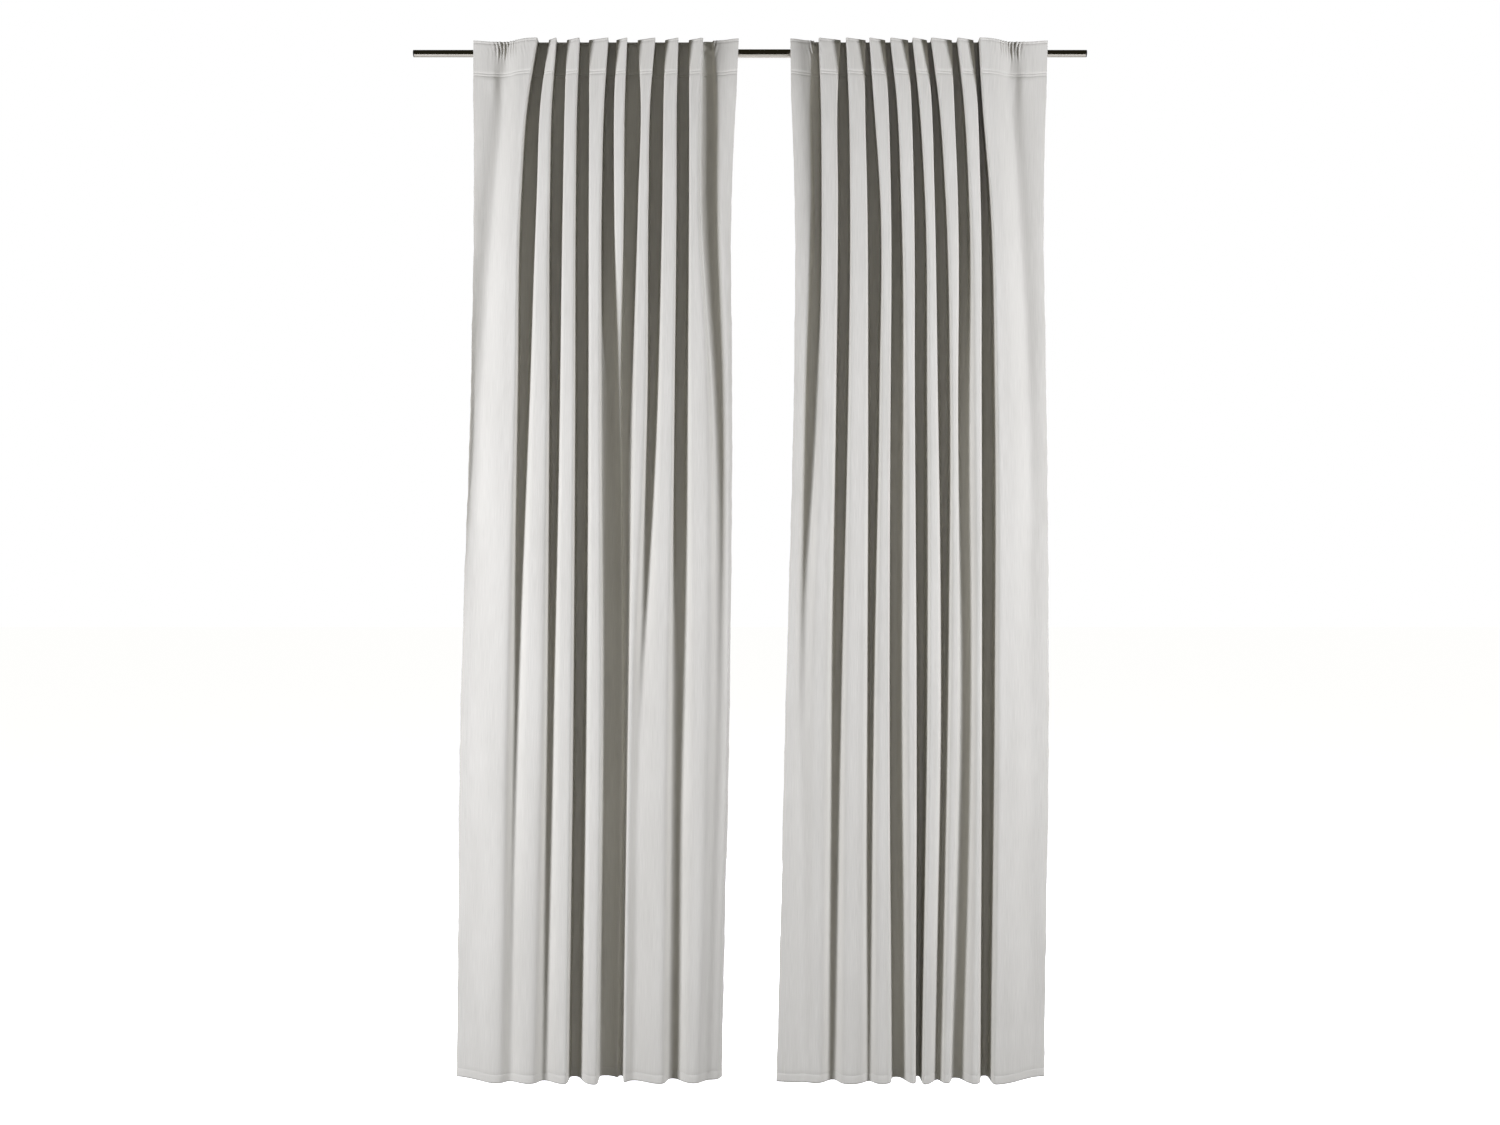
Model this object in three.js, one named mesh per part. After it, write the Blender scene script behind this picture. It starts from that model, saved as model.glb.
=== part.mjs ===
// Two curtains with back tabs on a telescoping rod, in millimetres.
//
// X runs along the rod, +Y points away from the room and +Z is up. The origin is on the
// rod's axis, at the middle of its length. The cloth hangs in front of the rod, towards -Y.
import * as THREE from "three";

// ---- Driving dimensions ----

const HALF_ROD = 816; // the middle of the rod to either end
const CENTRE_TUBE = { radius: 10, wall: 0.7, halfLength: 300 };
const END_TUBE = { radius: 8.5, wall: 0.7, innerEnd: 157 };
const SLIDING_GAP = 0.15; // between a plastic guide and the tube that slides past it
const TOUCH_GAP = 0.3; // between pieces that are fixed together
const BUSH = { length: 26, lip: 3 };
const GLIDE_PLUG = { length: 18, lip: 4 };
const END_PLUG = { depth: 14, lip: 2.5 };

const DROP = 2500; // a curtain's height
const ABOVE_AXIS = 26; // the top edge above the rod's axis
const CLOTH = 2; // thickness of the panel's solids
const TAPE = { height: 80, below: 5, thickness: 0.8 };
const HEM_HEIGHT = 20;
const SIDE_HEM_WIDTH = 25;
const TRIM_THICKNESS = 0.8; // tape and hems

const FOLD_DEPTH = 62; // from the back of a fold to its front
const LEAN = 22; // how far a fold's flank leans towards the middle as it comes forward
const FACE_TILT = 8; // how far a fold's face comes forward from its shoulder to its ridge
const RETURN_HEIGHT = 20; // how much of the hidden return flank each segment keeps
const CLOTH_BACK_Y = -12.6; // the middle of the cloth's thickness at the back of a fold

const TAB = { width: 19, thickness: 1, radius: 11.3, patch: 10, lowerPatchTop: -46 };

// Distances from the middle of the rod, at the heading: the outer edge, the nine tabs and
// the lead edge. drift is how far each of them has moved outwards at the bottom hem.
const LEFT = {
  name: "left",
  side: -1,
  outerEdge: 655,
  tabs: [583, 505, 458, 404, 335, 288, 223, 166, 108],
  leadEdge: 29,
  drift: { outer: 40, tabs: [55, 60, 36, 26, 24, 22, 36, 28, 22], lead: 38 },
};
const RIGHT = {
  name: "right",
  side: 1,
  outerEdge: 713,
  tabs: [623, 546, 497, 433, 386, 334, 283, 229, 165],
  leadEdge: 97,
  drift: { outer: 0, tabs: [10, 30, 30, 28, 32, 34, 4, -18, -30], lead: -33 },
};

// ---- Materials ----

const MATERIALS = {
  cloth: { color: 0xd6d5d0, roughness: 0.75, metalness: 0 },
  tape: { color: 0xe6e5e0, roughness: 0.85, metalness: 0 },
  metal: { color: 0x2a2926, roughness: 0.25, metalness: 0.9 },
  plastic: { color: 0x1d1d1d, roughness: 0.5, metalness: 0 },
};

const object = new THREE.Group();

function addPiece(name, geometry, materialName) {
  const mesh = new THREE.Mesh(geometry, new THREE.MeshStandardMaterial(MATERIALS[materialName]));
  mesh.name = name;
  object.add(mesh);
  return mesh;
}

// ---- Rod ----

/** A ring or plug turned about the rod's axis. Each profile point is [radius, x]. */
function turned(profile) {
  const closed = profile[0][0] === 0 ? profile : [...profile, profile[0]];
  const points = closed.map(([radius, x]) => new THREE.Vector2(radius, x));
  const geometry = new THREE.LatheGeometry(points, 32);
  return geometry.applyMatrix4(new THREE.Matrix4().makeRotationZ(-Math.PI / 2));
}

/** A plain tube from x0 to x1. */
function tube({ radius, wall }, x0, x1) {
  return turned([[radius - wall, x0], [radius, x0], [radius, x1], [radius - wall, x1]]);
}

/** The same geometry at the other end of the rod. */
function atSide(geometry, side) {
  if (side < 0) geometry.applyMatrix4(new THREE.Matrix4().makeRotationZ(Math.PI));
  return geometry;
}

const centreBore = CENTRE_TUBE.radius - CENTRE_TUBE.wall;
const endBore = END_TUBE.radius - END_TUBE.wall;

/** A sleeve in the centre tube's mouth, with a lip over the tube's end. */
function mouthBush() {
  const mouth = CENTRE_TUBE.halfLength;
  const inner = END_TUBE.radius + SLIDING_GAP;
  const sleeve = centreBore - TOUCH_GAP / 2;
  return turned([
    [inner, mouth - BUSH.length],
    [sleeve, mouth - BUSH.length],
    [sleeve, mouth + TOUCH_GAP],
    [CENTRE_TUBE.radius, mouth + TOUCH_GAP],
    [CENTRE_TUBE.radius, mouth + BUSH.lip],
    [inner, mouth + BUSH.lip],
  ]);
}

/** A plug in the end tube's inner end, whose lip slides along the centre tube's bore. */
function glidePlug() {
  const end = END_TUBE.innerEnd;
  const stem = endBore - TOUCH_GAP / 2;
  return turned([
    [0, end - GLIDE_PLUG.lip],
    [centreBore - SLIDING_GAP, end - GLIDE_PLUG.lip],
    [centreBore - SLIDING_GAP, end - TOUCH_GAP],
    [stem, end - TOUCH_GAP],
    [stem, end + GLIDE_PLUG.length],
    [0, end + GLIDE_PLUG.length],
  ]);
}

/** A plug with a flat outer face that closes a free end of the rod. */
function endPlug() {
  const stem = endBore - TOUCH_GAP / 2;
  const mouth = HALF_ROD - END_PLUG.lip;
  return turned([
    [0, mouth - END_PLUG.depth],
    [stem, mouth - END_PLUG.depth],
    [stem, mouth + TOUCH_GAP],
    [END_TUBE.radius, mouth + TOUCH_GAP],
    [END_TUBE.radius, HALF_ROD],
    [0, HALF_ROD],
  ]);
}

addPiece("rod_centre_tube", tube(CENTRE_TUBE, -CENTRE_TUBE.halfLength, CENTRE_TUBE.halfLength), "metal");
for (const { name, side } of [LEFT, RIGHT]) {
  const endTube = tube(END_TUBE, END_TUBE.innerEnd, HALF_ROD - END_PLUG.lip);
  addPiece(`rod_${name}_tube`, atSide(endTube, side), "metal");
  addPiece(`${name}_mouth_bush`, atSide(mouthBush(), side), "plastic");
  addPiece(`${name}_glide_plug`, atSide(glidePlug(), side), "plastic");
  addPiece(`${name}_end_plug`, atSide(endPlug(), side), "plastic");
}

// ---- Cloth ----

/** The points of an open path, moved sideways by distance, to the right of its direction. */
function offsetPath(path, distance) {
  const directions = path.slice(1).map((point, i) => point.clone().sub(path[i]).normalize());
  return path.map((point, i) => {
    const before = directions[Math.max(i - 1, 0)];
    const after = directions[Math.min(i, directions.length - 1)];
    const tangent = before.clone().add(after).normalize();
    const normal = new THREE.Vector2(tangent.y, -tangent.x);
    const spread = Math.max(0.5, Math.abs(tangent.dot(before)));
    return point.clone().addScaledVector(normal, distance / spread);
  });
}

/**
 * A closed sheet of even thickness. paths holds one flat centre line for each station, all
 * with the same number of points, and place turns a point of a station into a 3-D point.
 */
function sheetGeometry(paths, thickness, place) {
  const count = paths[0].length;
  const positions = [];
  for (const sideways of [thickness / 2, -thickness / 2]) {
    paths.forEach((path, station) => {
      for (const point of offsetPath(path, sideways)) positions.push(...place(point, station));
    });
  }
  const layer = paths.length * count;
  const at = (face, station, i) => face * layer + station * count + i;
  const faces = [];
  const quad = (a, b, c, d) => faces.push(a, b, c, a, c, d);
  for (let s = 0; s < paths.length - 1; s += 1) {
    for (let i = 0; i < count - 1; i += 1) {
      quad(at(0, s, i), at(0, s, i + 1), at(0, s + 1, i + 1), at(0, s + 1, i));
      quad(at(1, s, i), at(1, s + 1, i), at(1, s + 1, i + 1), at(1, s, i + 1));
    }
    quad(at(0, s, 0), at(0, s + 1, 0), at(1, s + 1, 0), at(1, s, 0));
    const last = count - 1;
    quad(at(0, s, last), at(1, s, last), at(1, s + 1, last), at(0, s + 1, last));
  }
  const end = paths.length - 1;
  for (let i = 0; i < count - 1; i += 1) {
    quad(at(0, 0, i), at(1, 0, i), at(1, 0, i + 1), at(0, 0, i + 1));
    quad(at(0, end, i), at(0, end, i + 1), at(1, end, i + 1), at(1, end, i));
  }
  if (signedVolume(positions, faces) < 0) faces.reverse();
  const geometry = new THREE.BufferGeometry();
  geometry.setAttribute("position", new THREE.Float32BufferAttribute(positions, 3));
  geometry.setIndex(faces);
  geometry.computeVertexNormals();
  return geometry;
}

/** Six times the volume inside a closed triangle mesh, negative if its faces point in. */
function signedVolume(positions, faces) {
  const corner = (i) => new THREE.Vector3().fromArray(positions, 3 * faces[i]);
  let total = 0;
  for (let i = 0; i < faces.length; i += 3) {
    total += corner(i).dot(corner(i + 1).cross(corner(i + 2)));
  }
  return total;
}

const topZ = ABOVE_AXIS;
const hemZ = ABOVE_AXIS - DROP;
const tapeTopZ = topZ - TAPE.below;
const tapeBottomZ = tapeTopZ - TAPE.height;
const hemTopZ = hemZ + HEM_HEIGHT;

/** The share of the bottom drift that a fold has at height z: most of it comes near the top. */
function driftShare(z) {
  const down = (topZ - z) / DROP;
  return 1 - (1 - down) ** 2;
}

/** Outward distances of a curtain's edges and tabs at height z. */
function plan(curtain, z) {
  const share = driftShare(z);
  return {
    outer: curtain.outerEdge + share * curtain.drift.outer,
    tabs: curtain.tabs.map((distance, i) => distance + share * curtain.drift.tabs[i]),
    lead: curtain.leadEdge + share * curtain.drift.lead,
  };
}

const point = (outward, forward) => new THREE.Vector2(outward, forward);

/** The back of a fold, from its hidden return flank round to its front flank. */
function valley(tab) {
  return [
    point(tab + 3, RETURN_HEIGHT),
    point(tab + 3, 4),
    point(tab + 1.2, 0),
    point(tab - 1.6, 0),
    point(tab - 3.6, 4),
  ];
}

/** A fold's shoulder and face, which ends at the ridge. */
function face(tab, ridge) {
  const shoulder = tab - LEAN;
  const shoulderDepth = FOLD_DEPTH - FACE_TILT;
  return [
    point(shoulder + 1.5, shoulderDepth - 6),
    point(shoulder - 0.5, shoulderDepth - 2),
    point(shoulder - 4, shoulderDepth),
    point(ridge, FOLD_DEPTH),
  ];
}

/** Where the face that starts at a tab ends: just before the next tab, or at the lead edge. */
function ridgeAfter(distances, index) {
  const last = index === distances.tabs.length - 1;
  return last ? distances.lead : distances.tabs[index + 1] + 5;
}

/** The centre line of one fold's segment: valley, flank and face. */
function foldPath(distances, index) {
  const tab = distances.tabs[index];
  const back = index === 0 ? valley(tab).slice(3) : valley(tab);
  return [...back, ...face(tab, ridgeAfter(distances, index))];
}

/** The flat outer flap, which ends at the first tab. */
function flapPath(distances) {
  return [point(distances.outer, 0), point(distances.tabs[0] + 1, 0)];
}

/** The whole curtain's centre line, with the return flanks that the segments leave out. */
function wholePath(distances) {
  const path = [point(distances.outer, 0)];
  distances.tabs.forEach((tab, index) => {
    if (index > 0) path.push(point(tab + 3, FOLD_DEPTH - 5));
    path.push(...foldPath(distances, index));
  });
  return path;
}

/** Puts a point of a curtain's plan at its height in the room. */
function placer(curtain, heights) {
  return ({ x, y }, station) => [curtain.side * x, CLOTH_BACK_Y - y, heights[station]];
}

const BETWEEN_HEIGHTS = [0.1, 0.22, 0.42, 0.7].map((down) => topZ - down * DROP);
const PANEL_HEIGHTS = [topZ, tapeTopZ, tapeBottomZ, ...BETWEEN_HEIGHTS, hemTopZ, hemZ];

/** A segment of the panel that follows pathAt down the whole drop. */
function panelSegment(curtain, pathAt) {
  const paths = PANEL_HEIGHTS.map((z) => pathAt(plan(curtain, z)));
  return sheetGeometry(paths, CLOTH, placer(curtain, PANEL_HEIGHTS));
}

/** A strip sewn on the back of the cloth, along pathAt, between two heights. */
function backStrip(curtain, pathAt, heights) {
  const behind = -(CLOTH / 2 + TOUCH_GAP + TRIM_THICKNESS / 2);
  const paths = heights.map((z) => offsetPath(pathAt(plan(curtain, z)), behind));
  return sheetGeometry(paths, TRIM_THICKNESS, placer(curtain, heights));
}

const sideHemHeights = [tapeBottomZ - TOUCH_GAP, ...BETWEEN_HEIGHTS, hemTopZ + TOUCH_GAP];

/** The last stretch of the lead flap's face, next to its edge. */
function leadHemPath(distances) {
  const fold = face(distances.tabs.at(-1), distances.lead);
  const [start, edge] = fold.slice(-2);
  const along = edge.clone().sub(start).normalize();
  return [edge.clone().addScaledVector(along, -SIDE_HEM_WIDTH), edge];
}

function outerHemPath(distances) {
  return [point(distances.outer, 0), point(distances.outer - SIDE_HEM_WIDTH, 0)];
}

/** A tab's centre line, seen along the rod: a sewn patch, over the rod, and back to the tape. */
function tabPath() {
  const sewnY = CLOTH_BACK_Y + CLOTH / 2 + 2 * TOUCH_GAP + TRIM_THICKNESS + TAB.thickness / 2;
  const path = [point(sewnY, tapeTopZ), point(sewnY, tapeTopZ - TAB.patch)];
  for (let degrees = 125; degrees >= -35; degrees -= 20) {
    const angle = THREE.MathUtils.degToRad(degrees);
    path.push(point(TAB.radius * Math.cos(angle), TAB.radius * Math.sin(angle)));
  }
  path.push(point(sewnY, TAB.lowerPatchTop), point(sewnY, tapeBottomZ));
  return path;
}

function tabGeometry(curtain, distance) {
  const centre = curtain.side * (distance - 0.2);
  const place = ({ x, y }, station) => [centre + (station - 0.5) * TAB.width, x, y];
  return sheetGeometry([tabPath(), tabPath()], TAB.thickness, place);
}

for (const curtain of [LEFT, RIGHT]) {
  const { name } = curtain;
  addPiece(`${name}_outer_flap`, panelSegment(curtain, flapPath), "cloth");
  const lastTab = curtain.tabs.length - 1;
  curtain.tabs.forEach((distance, index) => {
    const segment = panelSegment(curtain, (distances) => foldPath(distances, index));
    addPiece(index === lastTab ? `${name}_lead_flap` : `${name}_fold_${index + 1}`, segment, "cloth");
    addPiece(`${name}_tab_${index + 1}`, tabGeometry(curtain, distance), "tape");
  });
  const tapeHeights = [tapeTopZ, tapeBottomZ];
  addPiece(`${name}_heading_tape`, backStrip(curtain, wholePath, tapeHeights), "tape");
  addPiece(`${name}_bottom_hem`, backStrip(curtain, wholePath, [hemTopZ, hemZ]), "cloth");
  addPiece(`${name}_outer_side_hem`, backStrip(curtain, outerHemPath, sideHemHeights), "cloth");
  addPiece(`${name}_lead_side_hem`, backStrip(curtain, leadHemPath, sideHemHeights), "cloth");
}

export default object;
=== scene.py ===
# %% [markdown]
# # Two block-out curtains on a telescoping rod
#
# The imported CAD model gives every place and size: the rod's tubes, the tabs behind each heading, and
# the box that the cloth fills. This lesson builds what the eye sees around that frame. The cloth
# could be simulated, but a curtain that hangs still is shaped by its heading and by gravity, and both
# are easier to say as a formula: a few fold edges at a few heights, rounded more and more towards the
# hem.

import math

import bmesh
import bpy
import numpy as np
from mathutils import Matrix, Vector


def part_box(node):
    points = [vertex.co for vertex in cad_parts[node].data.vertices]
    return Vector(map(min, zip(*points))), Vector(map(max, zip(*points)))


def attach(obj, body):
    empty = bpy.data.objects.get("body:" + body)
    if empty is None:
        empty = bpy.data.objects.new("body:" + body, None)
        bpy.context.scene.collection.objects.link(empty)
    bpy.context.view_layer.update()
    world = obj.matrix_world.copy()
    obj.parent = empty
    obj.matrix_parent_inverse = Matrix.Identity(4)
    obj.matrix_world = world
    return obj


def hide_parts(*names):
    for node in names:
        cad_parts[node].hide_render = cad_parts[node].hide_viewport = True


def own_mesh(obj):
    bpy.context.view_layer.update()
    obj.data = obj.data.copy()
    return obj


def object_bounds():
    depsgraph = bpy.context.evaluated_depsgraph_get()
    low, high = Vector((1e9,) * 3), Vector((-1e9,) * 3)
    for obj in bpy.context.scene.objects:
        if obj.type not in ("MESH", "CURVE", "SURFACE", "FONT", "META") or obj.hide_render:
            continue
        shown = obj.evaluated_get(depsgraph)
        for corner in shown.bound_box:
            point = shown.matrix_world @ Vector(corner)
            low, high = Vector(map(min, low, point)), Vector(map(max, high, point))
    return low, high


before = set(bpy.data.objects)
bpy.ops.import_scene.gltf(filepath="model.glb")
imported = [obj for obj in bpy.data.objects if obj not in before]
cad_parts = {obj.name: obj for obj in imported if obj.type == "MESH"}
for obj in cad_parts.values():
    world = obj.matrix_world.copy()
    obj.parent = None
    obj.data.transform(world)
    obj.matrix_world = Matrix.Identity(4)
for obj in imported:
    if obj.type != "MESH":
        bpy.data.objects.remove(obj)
cad_low, cad_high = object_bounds()
print("CAD box in metres:", [round(v, 3) for v in cad_low], [round(v, 3) for v in cad_high])

# %% [markdown]
# ## Camera
#
# The curtains are seen square on, from the height of their middle. A camera about four metres away
# with a lens close to 39 mm keeps the perspective gentle, so the front of each fold is only a little
# larger than its back.

# %% Camera
scene = bpy.context.scene
CAMERA_DISTANCE = 3.9
CAMERA_HEIGHT = -1.234
LENS_MM = 38.6

camera = bpy.data.objects.new("camera", bpy.data.cameras.new("camera"))
camera.location = (0, -CAMERA_DISTANCE, CAMERA_HEIGHT)
camera.rotation_euler = (math.radians(90), 0, 0)
camera.data.lens = LENS_MM
camera.data.sensor_width = 36
scene.collection.objects.link(camera)
scene.camera = camera
print("camera at", tuple(round(v, 2) for v in camera.location))

# %% [markdown]
# ## Studio
#
# Two soft daylight lamps stand well to the sides. They brighten the faces and flanks of the folds and
# leave the clefts between them dark. A weak lamp beside the camera lifts the faces, one behind shows
# the back of the cloth, and the world adds a little warm light from all round. The backdrop is white
# only where the camera meets it, because a world that bright would fill the clefts.

# %% Lights
DAYLIGHT = (0.86, 0.88, 1.0)


def area_light(name, location, target, width, height, power):
    """An upright soft light at location that points at target."""
    light = bpy.data.objects.new(name, bpy.data.lights.new(name, "AREA"))
    light.data.shape = "RECTANGLE"
    light.data.size = width
    light.data.size_y = height
    light.data.energy = power
    light.data.color = DAYLIGHT
    light.location = location
    direction = np.subtract(target, location)
    pitch = math.atan2(math.hypot(direction[0], direction[1]), -direction[2])
    light.rotation_euler = (pitch, 0, math.atan2(direction[1], direction[0]) - math.pi / 2)
    light.visible_glossy = False
    light.visible_camera = False
    scene.collection.objects.link(light)


middle = (0, 0, CAMERA_HEIGHT)
area_light("left_light", (-3.0, -1.9, CAMERA_HEIGHT + 0.2), middle, 1.0, 1.2, 172)
area_light("right_light", (3.0, -1.9, CAMERA_HEIGHT + 0.4), middle, 1.0, 1.2, 155)
area_light("front_light", (0, -4.2, CAMERA_HEIGHT), middle, 1.0, 1.0, 16)
area_light("back_light", (0, 3.5, CAMERA_HEIGHT), middle, 1.0, 2.0, 216)

# %% World and floor
world = bpy.data.worlds.new("studio_world")
world.use_nodes = True
world_tree = world.node_tree
backdrop = world_tree.nodes["Background"]
backdrop.inputs["Strength"].default_value = 1.0
ambient = world_tree.nodes.new("ShaderNodeBackground")
ambient.inputs["Strength"].default_value = 0.05
either = world_tree.nodes.new("ShaderNodeMixShader")
ray = world_tree.nodes.new("ShaderNodeLightPath")
world_tree.links.new(ray.outputs["Is Camera Ray"], either.inputs[0])
world_tree.links.new(ambient.outputs[0], either.inputs[1])
world_tree.links.new(backdrop.outputs[0], either.inputs[2])
world_tree.links.new(either.outputs[0], world_tree.nodes["World Output"].inputs["Surface"])
backdrop.inputs["Color"].default_value = (1, 1, 1, 1)
ambient.inputs["Color"].default_value = (1, 0.92, 0.6, 1)
scene.world = world
scene.view_settings.view_transform = "Standard"

# the floor ends short of the camera, so the rod mirrors it only in its lower half
FLOOR_GAP = 0.12
FLOOR_FRONT = -3.2
FLOOR_REACH = 30
floor_z = cad_low.z - FLOOR_GAP
floor_mesh = bpy.data.meshes.new("floor")
floor_corners = [(-FLOOR_REACH, FLOOR_FRONT, floor_z), (FLOOR_REACH, FLOOR_FRONT, floor_z),
                 (FLOOR_REACH, FLOOR_REACH, floor_z), (-FLOOR_REACH, FLOOR_REACH, floor_z)]
floor_mesh.from_pydata(floor_corners, [], [(0, 1, 2, 3)])
floor_material = bpy.data.materials.new("white_studio_floor")
floor_material.use_nodes = True
floor_shader = floor_material.node_tree.nodes["Principled BSDF"]
floor_shader.inputs["Base Color"].default_value = (0.9, 0.9, 0.9, 1)
floor_shader.inputs["Emission Color"].default_value = (1, 1, 1, 1)
floor_shader.inputs["Emission Strength"].default_value = 0.95
floor_mesh.materials.append(floor_material)
floor = bpy.data.objects.new("floor", floor_mesh)
floor.visible_diffuse = False
scene.collection.objects.link(floor)
print("floor at", round(floor_z, 3))

# %% [markdown]
# ## Two helpers for materials
#
# Every finish is a node tree, so two helpers are enough: one turns a hex colour into the linear
# values that shaders use, and one adds a node with its settings and its links.

# %% Material helpers
def linear(hex_colour):
    """sRGB hex, such as "d8d7d2", to linear RGBA: each channel becomes ((c + 0.055) / 1.055) ^ 2.4."""
    channels = np.array([int(hex_colour[i:i + 2], 16) / 255 for i in (0, 2, 4)])
    high = ((channels + 0.055) / 1.055) ** 2.4
    return (*np.where(channels <= 0.04045, channels / 12.92, high), 1.0)


def add_node(tree, kind, settings=None, **inputs):
    """Adds a node of this kind. Each input, by name or by _number, is a value or another node's output."""
    node = tree.nodes.new(kind)
    for name, value in (settings or {}).items():
        setattr(node, name, value)
    for name, value in inputs.items():
        key = int(name[1:]) if name[0] == "_" else name.replace("_", " ")
        if isinstance(value, bpy.types.NodeSocket):
            tree.links.new(value, node.inputs[key])
        else:
            node.inputs[key].default_value = value
    return node


def new_material(name, **principled):
    """A material with one Principled shader: returns the material, its tree and its shader."""
    material = bpy.data.materials.new(name)
    material.use_nodes = True
    shader = material.node_tree.nodes["Principled BSDF"]
    for key, value in principled.items():
        shader.inputs[key.replace("_", " ")].default_value = value
    return material, material.node_tree, shader


def speckled_material(name, dark, light, scale, strength, **principled):
    """A finely grained finish: noise on Object coordinates mixes two tones and raises the surface."""
    material, tree, shader = new_material(name, **principled)
    place = add_node(tree, "ShaderNodeTexCoord").outputs["Object"]
    speckle = add_node(tree, "ShaderNodeTexNoise", Vector=place, Scale=scale, Detail=2.0)
    tone = add_node(tree, "ShaderNodeMix", {"data_type": "RGBA"}, _0=speckle.outputs[0], _6=linear(dark),
                    _7=linear(light))
    tree.links.new(tone.outputs[2], shader.inputs["Base Color"])
    bump = add_node(tree, "ShaderNodeBump", Height=speckle.outputs[0], Strength=strength, Distance=0.0001)
    tree.links.new(bump.outputs[0], shader.inputs["Normal"])
    return material


# %% [markdown]
# ## Block-out cloth
#
# The panels are dense polyester sateen. A layer of black yarn inside the weave stops the light, so
# the cloth is opaque, and the long floats of the sateen face give a soft sheen with fine vertical
# slubs. The pattern follows the cloth, not the room, so it reads the cloth's own UV map, which holds
# millimetres across and down the flat panel.

# %% Cloth material
def woven_material(name, colour, slub_colour, slub_width, slub_length):
    """A woven cloth: slubs of the given size in mm tint it and raise it, over a fine thread relief."""
    material, tree, shader = new_material(name, Roughness=0.6, Sheen_Weight=0.04, Sheen_Roughness=0.4)
    shader.inputs["Specular IOR Level"].default_value = 0.25
    uv = add_node(tree, "ShaderNodeTexCoord").outputs["UV"]
    # slubs are thick places in the yarn, each narrow and long
    slub_place = add_node(tree, "ShaderNodeMapping", Vector=uv, Scale=(1 / slub_width, 1 / slub_length, 1))
    slubs = add_node(tree, "ShaderNodeTexNoise", Vector=slub_place.outputs[0], Scale=1.0, Detail=3.0)
    # dye takes a little unevenly, in soft upright clouds about 80 mm wide
    cloud_place = add_node(tree, "ShaderNodeMapping", Vector=uv, Scale=(0.012, 0.003, 1))
    clouds = add_node(tree, "ShaderNodeTexNoise", Vector=cloud_place.outputs[0], Scale=1.0, Detail=2.0)
    # threads are 0.3 mm apart on the real cloth, and drawn 0.9 mm apart so that they show
    thread_place = add_node(tree, "ShaderNodeMapping", Vector=uv, Scale=(1.1, 0.5, 1))
    threads = add_node(tree, "ShaderNodeTexNoise", Vector=thread_place.outputs[0], Scale=1.0, Detail=1.0)
    mixed = add_node(tree, "ShaderNodeMath", {"operation": "MULTIPLY_ADD"}, _0=clouds.outputs[0], _1=0.5,
                     _2=slubs.outputs[0])
    share = add_node(tree, "ShaderNodeMapRange", Value=mixed.outputs[0], From_Min=0.55, From_Max=0.95)
    tint = add_node(tree, "ShaderNodeMix", {"data_type": "RGBA"}, _0=share.outputs[0], _6=linear(colour),
                    _7=linear(slub_colour))
    tree.links.new(tint.outputs[2], shader.inputs["Base Color"])
    relief = add_node(tree, "ShaderNodeMath", {"operation": "MULTIPLY_ADD"}, _0=threads.outputs[0], _1=0.5,
                      _2=slubs.outputs[0])
    bump = add_node(tree, "ShaderNodeBump", Height=relief.outputs[0], Strength=0.25, Distance=0.0003)
    tree.links.new(bump.outputs[0], shader.inputs["Normal"])
    return material


SATEEN = woven_material("polyester_blockout_sateen", "c5c2b7", "bab7ac", 1.6, 60)
TAPE_WEAVE = woven_material("woven_polyester_tape", "d0cdc3", "c5c2b7", 1.2, 3)

# sewing thread is spun from short fibres and twisted, so its tone and surface vary every millimetre or so
THREAD = speckled_material("spun_polyester_thread", "b5b3ac", "d6d4cd", 800.0, 0.4, Roughness=0.7,
                           Sheen_Weight=0.2)
print("cloth materials made")

# %% [markdown]
# ## Rod finishes
#
# The tubes are drawn steel with a thin black nickel plate, which is a dark mirror: it is nearly black
# where it meets the dim room and bright where it meets the floor. Drawing leaves faint scratches
# along the tube, so the roughness is stretched along it. The bushes and plugs are moulded nylon, matt
# and finely grained.

# %% Rod materials
BLACK_NICKEL, tree, shader = new_material("black_nickel_plated_steel", Metallic=1.0)
place = add_node(tree, "ShaderNodeTexCoord").outputs["Object"]
drawn = add_node(tree, "ShaderNodeMapping", Vector=place, Scale=(5, 700, 700))
scratches = add_node(tree, "ShaderNodeTexNoise", Vector=drawn.outputs[0], Scale=1.0, Detail=3.0)
gloss = add_node(tree, "ShaderNodeMapRange", Value=scratches.outputs[0], To_Min=0.1, To_Max=0.24)
tree.links.new(gloss.outputs[0], shader.inputs["Roughness"])
plate = add_node(tree, "ShaderNodeMix", {"data_type": "RGBA"}, _0=scratches.outputs[0], _6=linear("827e76"),
                 _7=linear("8f8b82"))
tree.links.new(plate.outputs[2], shader.inputs["Base Color"])

NYLON = speckled_material("moulded_black_nylon", "161615", "232322", 1500.0, 0.3, Roughness=0.45)
print("rod materials made")

# %% [markdown]
# ## Meshes from grids
#
# Every piece here is a grid of points, worked out as whole arrays. One helper joins neighbouring
# points into quads, and one puts the arrays into a mesh.

# %% Mesh helpers
def grid_faces(rows, columns, wrap=False):
    """Quads between neighbours in a grid stored row by row. wrap joins the last column to the first."""
    row, column = np.meshgrid(np.arange(rows - 1), np.arange(columns - (not wrap)), indexing="ij")
    following = (column + 1) % columns
    corners = [row * columns + column, (row + 1) * columns + column, (row + 1) * columns + following,
               row * columns + following]
    return np.stack(corners, axis=-1).reshape(-1, 4)


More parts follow.
